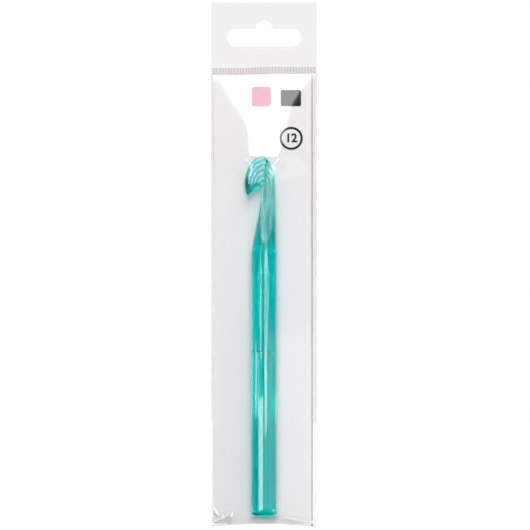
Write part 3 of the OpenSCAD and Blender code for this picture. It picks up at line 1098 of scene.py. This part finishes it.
class HANGBAG_OT_seals(bpy.types.Operator):
    """Presses the ribbed crimp seal and the two side welds"""

    bl_idname = "hangbag.seals"
    bl_label = "Seals"

    rib_sides = 8
    rib_fill = 0.42
    rib_reach = 0.9
    weld_rings = 160
    weld_points = 10
    weld_wave = 0.03 * MM
    # Bumps per metre across and up of a weld's run, and those of a bead's swelling with its height
    run_scale = (150, 90)
    swell_scale = 240
    swell_seed = 4
    swell_share = 0.05
    # Width that a pointed bead keeps at its ends, and the power of its taper
    point_share = 0.01
    point_power = 0.5
    # The crimp's waves as radians per metre and the turn they start at
    crimp_turns = 210
    crimp_start = 0.6
    crease_gap = 0.4 * MM
    crease_w = 0.9 * MM
    foot_rings = 60
    foot_w = 0.4 * MM
    fold_rings = 24
    fold_t = 0.06 * MM
    fold_gap = 0.4 * MM
    # White ribbons of painted highlight on sharp folds in the bag's lower corners, as ends and width
    corner_fold_highlights = (
        ((-24.3 * MM, -234.6 * MM), (-14.5 * MM, -228.9 * MM), 1.5 * MM),
        ((-24.4 * MM, -226.5 * MM), (-21.5 * MM, -231 * MM), 1.6 * MM),
        ((-14.4 * MM, -228.6 * MM), (-17.4 * MM, -235.2 * MM), 1 * MM),
        ((9 * MM, -231 * MM), (23.4 * MM, -234.8 * MM), 1.5 * MM),
        ((15.5 * MM, -234.6 * MM), (23.6 * MM, -234.2 * MM), 1.4 * MM))

    def execute(self, context):
        film = context.scene.hangbag_film
        settle_piece(self.crimp(film, crimp_material(film)), "bag", "seal", "crimp_seal")
        weld = weld_material("welded_film", film, film.seal, film.seal_cover)
        # Creased film beside the card's edge and along the foot, darkened with painted shade
        crease = weld_material("creased_film", film, film.crease, film.crease_cover)
        # Painted highlight: white film laid on the corner folds
        fold_highlight = weld_material("fold_highlight_film", film, film.fold, film.fold_highlight_cover)
        middle = (WELD_LOW + WELD_HIGH) / 2
        half = (WELD_HIGH - WELD_LOW) / 2
        for name, side in (("left_weld", -1), ("right_weld", 1)):
            bead = self.bead(name + "_bead", self.upright(side * middle.x, middle.y), half.x, half.y, weld)
            settle_piece(bead, "bag", "seal", name)
        side_crease = self.upright(CARD_HIGH.x + self.crease_gap, middle.y)
        across = np.linspace(FRONT_LOW.x, FRONT_HIGH.x, self.foot_rings)
        foot_z = foot_at(film, across) + self.foot_w / 2
        foot_crease = np.stack((across, np.full_like(across, middle.y), foot_z), 1)
        creases = [
            self.bead("side_crease", side_crease, self.crease_w / 2, half.y, crease),
            self.bead("foot_crease", foot_crease, self.foot_w / 2, half.y, crease)]
        skin = skin_of(bpy.data.objects["front_film"].data)
        # Painted highlights along the corner folds
        for index, (start, end, width) in enumerate(self.corner_fold_highlights):
            name = f"corner_fold_{index}"
            path = self.laid_path(skin, start, end)
            creases.append(self.bead(name, path, width / 2, self.fold_t / 2, fold_highlight, tapered=True))
        for bead in creases:
            settle_piece(bead, "bag", "seal")
        return {"FINISHED"}

    def upright(self, x, y):
        """A path up the bag's side, a little uneven in its run."""
        scale_x, scale_z = self.run_scale
        path = []
        for z in np.linspace(WELD_LOW.z, WELD_HIGH.z, self.weld_rings):
            wave = noise.noise(Vector((x * scale_x, 0, z * scale_z)))
            path.append((x + self.weld_wave * wave, y, z))
        return np.array(path)

    def laid_path(self, skin, start, end):
        """A straight path from one place to another across and up, laid on the front film."""
        path = []
        for part in np.linspace(0, 1, self.fold_rings):
            x, z = mix(start[0], end[0], part), mix(start[1], end[1], part)
            path.append((x, depth_on(skin, x, z) - self.fold_gap, z))
        return np.array(path)

    def rib_tree(self):
        """Ribs along a band, slanted and waved, from the sizes on its inputs."""
        tree = bpy.data.node_groups.new("crimp ribs", "GeometryNodeTree")
        inputs = (
            ("Ribs", "NodeSocketInt"), ("Pitch", "NodeSocketFloat"), ("Height", "NodeSocketFloat"),
            ("Depth", "NodeSocketFloat"), ("Film", "NodeSocketFloat"), ("Slope", "NodeSocketFloat"),
            ("Wave", "NodeSocketFloat"), ("Level", "NodeSocketFloat"), ("Material", "NodeSocketMaterial"))
        for name, kind in inputs:
            tree.interface.new_socket(name, in_out="INPUT", socket_type=kind)
        tree.interface.new_socket("Geometry", in_out="OUTPUT", socket_type="NodeSocketGeometry")
        graph = Wire(tree)
        group = tree.nodes.new("NodeGroupInput")
        size = {name: Wire(tree, group.outputs[name]) for name, _ in inputs}
        width = (size["Ribs"] - 1) * size["Pitch"]
        start = graph.add("ShaderNodeCombineXYZ", {"X": width * -0.5})
        step = graph.add("ShaderNodeCombineXYZ", {"X": size["Pitch"]})
        line = graph.add("GeometryNodeMeshLine", {
            "Count": size["Ribs"], "Start Location": start, "Offset": step}, mode="OFFSET")
        rod = graph.add("GeometryNodeMeshCylinder", {
            "Vertices": self.rib_sides, "Side Segments": 3, "Radius": 1.0, "Depth": 1.0}, output="Mesh")
        rib_size = graph.add("ShaderNodeCombineXYZ", {
            "X": size["Pitch"] * self.rib_fill, "Y": size["Depth"], "Z": size["Height"] * self.rib_reach})
        rib = graph.add("GeometryNodeTransform", {"Geometry": rod, "Scale": rib_size})
        ribs = graph.add("GeometryNodeInstanceOnPoints", {"Points": line, "Instance": rib})
        band_size = graph.add("ShaderNodeCombineXYZ", {
            "X": width + size["Pitch"], "Y": size["Film"], "Z": size["Height"]})
        band = graph.add("GeometryNodeMeshCube", {
            "Size": band_size, "Vertices X": size["Ribs"] * 2, "Vertices Y": 2, "Vertices Z": 4})
        both = tree.nodes.new("GeometryNodeJoinGeometry")
        for part in (ribs, band):
            tree.links.new(part.socket, both.inputs[0])
        real = graph.add("GeometryNodeRealizeInstances", {"Geometry": Wire(tree, both.outputs[0])})
        where = graph.add("GeometryNodeInputPosition")
        across = graph.add("ShaderNodeSeparateXYZ", {"Vector": where}, output="X")
        swing = graph.add("ShaderNodeMath", {
            0: across * self.crimp_turns + self.crimp_start}, operation="SINE")
        lift = across * size["Slope"] + swing * size["Wave"] + size["Level"]
        shift = graph.add("ShaderNodeCombineXYZ", {"Y": size["Depth"] * -1, "Z": lift})
        moved = graph.add("GeometryNodeSetPosition", {"Geometry": real, "Offset": shift})
        done = graph.add("GeometryNodeSetMaterial", {"Geometry": moved, "Material": size["Material"]})
        graph.add("NodeGroupOutput", {"Geometry": done})
        return tree

    def crimp(self, film, seal):
        width = CRIMP_HIGH.x - CRIMP_LOW.x
        values = {
            "Ribs": math.floor(width / film.rib_pitch),
            "Pitch": film.rib_pitch,
            "Height": CRIMP_HIGH.z - CRIMP_LOW.z,
            "Depth": (CRIMP_HIGH.y - CRIMP_LOW.y) / 2,
            "Film": 2 * film.film_t,
            "Slope": math.tan(film.crimp_tilt),
            "Wave": film.crimp_wave,
            "Level": (CRIMP_LOW.z + CRIMP_HIGH.z) / 2,
            "Material": seal,
        }
        holder = link("crimp_ribs", bpy.data.meshes.new("crimp_ribs"))
        tree = self.rib_tree()
        maker = holder.modifiers.new("ribs", "NODES")
        maker.node_group = tree
        for item in tree.interface.items_tree:
            if item.in_out == "INPUT":
                maker[item.identifier] = values[item.name]
        mesh = plain_mesh(holder)
        holder.modifiers.clear()
        holder.data = mesh
        return holder

    def bead(self, name, path, half_w, half_y, seal, tapered=False):
        """A thin bead of film along a path, uneven in its depth, and pointed at its ends if asked."""
        run = np.gradient(path[:, (0, 2)], axis=0)
        run /= np.linalg.norm(run, axis=1, keepdims=True)
        count = len(path)
        points = []
        for step, ((x, y, z), (run_x, run_z)) in enumerate(zip(path, run)):
            wave = noise.noise(Vector((x * self.swell_scale, self.swell_seed, z * self.swell_scale)))
            swell = 1 + self.swell_share * wave
            bow_at = max(math.sin(math.pi * step / (count - 1)), self.point_share)
            wide = bow_at ** self.point_power if tapered else 1
            for i in range(self.weld_points):
                turn = 2 * math.pi * i / self.weld_points
                out = wide * half_w * math.cos(turn)
                points.append((x + run_z * out, y + swell * half_y * math.sin(turn), z - run_x * out))
        faces = grid_faces(count, self.weld_points, closed=True)
        last = (count - 1) * self.weld_points
        faces.append(tuple(range(self.weld_points - 1, -1, -1)))
        faces.append(tuple(range(last, last + self.weld_points)))
        return new_piece(name, points, faces, seal)


class HANGBAG_OT_stage(bpy.types.Operator):
    """Sets up the floor, the white surround, the lamps and the camera"""

    bl_idname = "hangbag.stage"
    bl_label = "Stage"

    floor_reach = 0.7
    floor_gap = 0.5 * MM
    sensor = 36
    # Depth over which the floor runs into the backdrop, and the same for the world by its direction
    floor_run = 0.1
    world_run = (0.4, 0.9)
    # Each lamp as name, level it is aimed at, bearing and height in degrees, distance, size and power
    lamps = (
        ("softbox above", -0.06, 0, 36, 2.4, (0.9, 1.35), 29.5),
        ("softbox front left", -0.07, -11.2, 15.8, 3.2, (1.25, 0.566), 21.3),
        ("softbox front right", -0.07, 11.2, 15.8, 3.2, (1.25, 0.566), 7.5),
        ("softbox right", -0.24, 36, 56, 1.8, (1.2, 0.9), 7),
        ("softbox back", 0.05, 180, 30, 2.4, (1.4, 1.4), 30),
        ("strip left", -0.147, -25, 0, 0.9, (0.08, 0.09), 0.3),
        ("strip low left", -0.215, -50, 0, 0.9, (0.1, 0.06), 0.13),
        ("strip right", -0.18, 16, 0, 0.9, (0.36, 0.16), 0.95),
        ("strip low right", -0.3, 16, 0, 0.9, (0.36, 0.075), 0.1),
        ("glow low left", -0.305, -25, 0, 0.9, (0.56, 0.15), 1.4),
        ("glow low right", -0.28, 62, 0, 0.9, (0.9, 0.22), 0.65))

    def execute(self, context):
        stage = context.scene.hangbag_stage
        context.scene.view_settings.view_transform = "Standard"
        self.surround(context, stage)
        self.floor(stage)
        for lamp in self.lamps:
            self.softbox(*lamp)
        self.camera(context, stage)
        return {"FINISHED"}

    def seen_directly(self, graph, backdrop):
        """1 where the eye looks at it, and the backdrop's share where a mirror or glass does."""
        rays = [graph.add("ShaderNodeLightPath", output=name)
                for name in ("Is Camera Ray", "Is Glossy Ray", "Is Transmission Ray")]
        mirrored = rays[1].maths("MAXIMUM", rays[1], rays[2]) * backdrop
        return rays[0].maths("MAXIMUM", rays[0], mirrored)

    def behind(self, graph):
        """Share of the floor that belongs to the backdrop, from 0 before the bag to 1 behind it."""
        return fade(graph, place_along(graph, "Y"), 0, self.floor_run)

    def surround(self, context, stage):
        """White behind the bag and where it is seen, straight or through the hook, and dim elsewhere."""
        world = bpy.data.worlds.new("white surround")
        world.use_nodes = True
        world.node_tree.nodes.clear()
        graph = Wire(world.node_tree)
        towards = graph.add("ShaderNodeTexCoord", output="Generated")
        back = graph.add("ShaderNodeSeparateXYZ", {"Vector": towards}, output="Y")
        white = fade(graph, back, *self.world_run, interpolation_type="SMOOTHSTEP")
        backdrop = white * (1 - stage.room) + stage.room
        seen = graph.add("ShaderNodeLightPath", output="Is Camera Ray")
        through = graph.add("ShaderNodeLightPath", output="Is Transmission Ray")
        strength = seen.maths("MAXIMUM", seen + through, backdrop)
        light = graph.add("ShaderNodeBackground", {"Color": rgba((1, 1, 1)), "Strength": strength})
        graph.add("ShaderNodeOutputWorld", {"Surface": light})
        context.scene.world = world

    def floor(self, stage):
        material, graph = new_material("pale_floor")
        grain = mottle(graph, scale=40)
        pale = grain.blend(rgba(stage.floor), rgba(dimmed(stage.floor, 0.97)))
        seen = graph.add("ShaderNodeLightPath", output="Is Camera Ray")
        skin = graph.add("ShaderNodeBsdfPrincipled", {
            "Base Color": seen.blend(pale, rgba(stage.floor_seen)),
            "Roughness": 0.9,
            "Emission Color": rgba((1, 1, 1)),
            "Emission Strength": self.seen_directly(graph, self.behind(graph)) * stage.floor_lift,
        })
        reach = self.floor_reach
        level = CAD_BOX[0][2] - self.floor_gap
        corners = [(x * reach, y * reach, level) for x, y in ((-1, -1), (1, -1), (1, 1), (-1, 1))]
        ground = new_piece("floor", corners, [(0, 1, 2, 3)], finished(material, graph, skin))
        # The low lamps are mirrored in the hook and the film, which the floor would hide
        ground.visible_glossy = False

    def softbox(self, name, level, azimuth, elevation, distance, size, power):
        """A rectangular lamp at that bearing and height from the hook at a level, turned to it."""
        lamp = bpy.data.lights.new(name, "AREA")
        lamp.shape = "RECTANGLE"
        lamp.size, lamp.size_y = size
        lamp.energy = power
        turn, rise = math.radians(azimuth), math.radians(elevation)
        away = Vector((math.sin(turn) * math.cos(rise), -math.cos(turn) * math.cos(rise), math.sin(rise)))
        holder = link(name, lamp)
        holder.location = Vector((0, HOOK_LOW.y, level)) + away * distance
        holder.rotation_euler = away.to_track_quat("Z", "Y").to_euler()
        holder.visible_camera = False

    def camera(self, context, stage):
        view = bpy.data.cameras.new("photo camera")
        view.lens = stage.lens
        view.sensor_width = self.sensor
        distance = stage.frame_w * stage.lens / self.sensor
        holder = link("photo camera", view)
        holder.location = (stage.centre_x, (HOOK_LOW.y + HOOK_HIGH.y) / 2 - distance, stage.centre_z)
        holder.rotation_euler = (math.pi / 2, 0, 0)
        context.scene.camera = holder


SETTINGS = {
    "hangbag_hook": HookSettings,
    "hangbag_card": CardSettings,
    "hangbag_film": FilmSettings,
    "hangbag_stage": StageSettings,
}
STEPS = (
    HANGBAG_OT_hook,
    HANGBAG_OT_card,
    HANGBAG_OT_film,
    HANGBAG_OT_header,
    HANGBAG_OT_seals,
    HANGBAG_OT_stage,
)


class HANGBAG_PT_panel(bpy.types.Panel):
    """Lists the steps that build the hang bag and the sizes that they read"""

    bl_idname = "HANGBAG_PT_panel"
    bl_label = "Hang bag"
    bl_space_type = "VIEW_3D"
    bl_region_type = "UI"
    bl_category = "Hang bag"

    def draw(self, context):
        for step in STEPS:
            self.layout.operator(step.bl_idname)
        for name, group in SETTINGS.items():
            box = self.layout.box()
            for prop in group.__annotations__:
                box.prop(getattr(context.scene, name), prop)


CLASSES = (*SETTINGS.values(), *STEPS, HANGBAG_PT_panel)


def register():
    for cls in CLASSES:
        bpy.utils.register_class(cls)
    for name, group in SETTINGS.items():
        setattr(bpy.types.Scene, name, PointerProperty(type=group))


def unregister():
    for name in SETTINGS:
        delattr(bpy.types.Scene, name)
    for cls in reversed(CLASSES):
        bpy.utils.unregister_class(cls)


def main():
    register()
    bpy.ops.hangbag.hook()
    bpy.ops.hangbag.card()
    bpy.ops.hangbag.film()
    bpy.ops.hangbag.header()
    bpy.ops.hangbag.seals()
    bpy.ops.hangbag.stage()


if __name__ == "__main__":
    main()
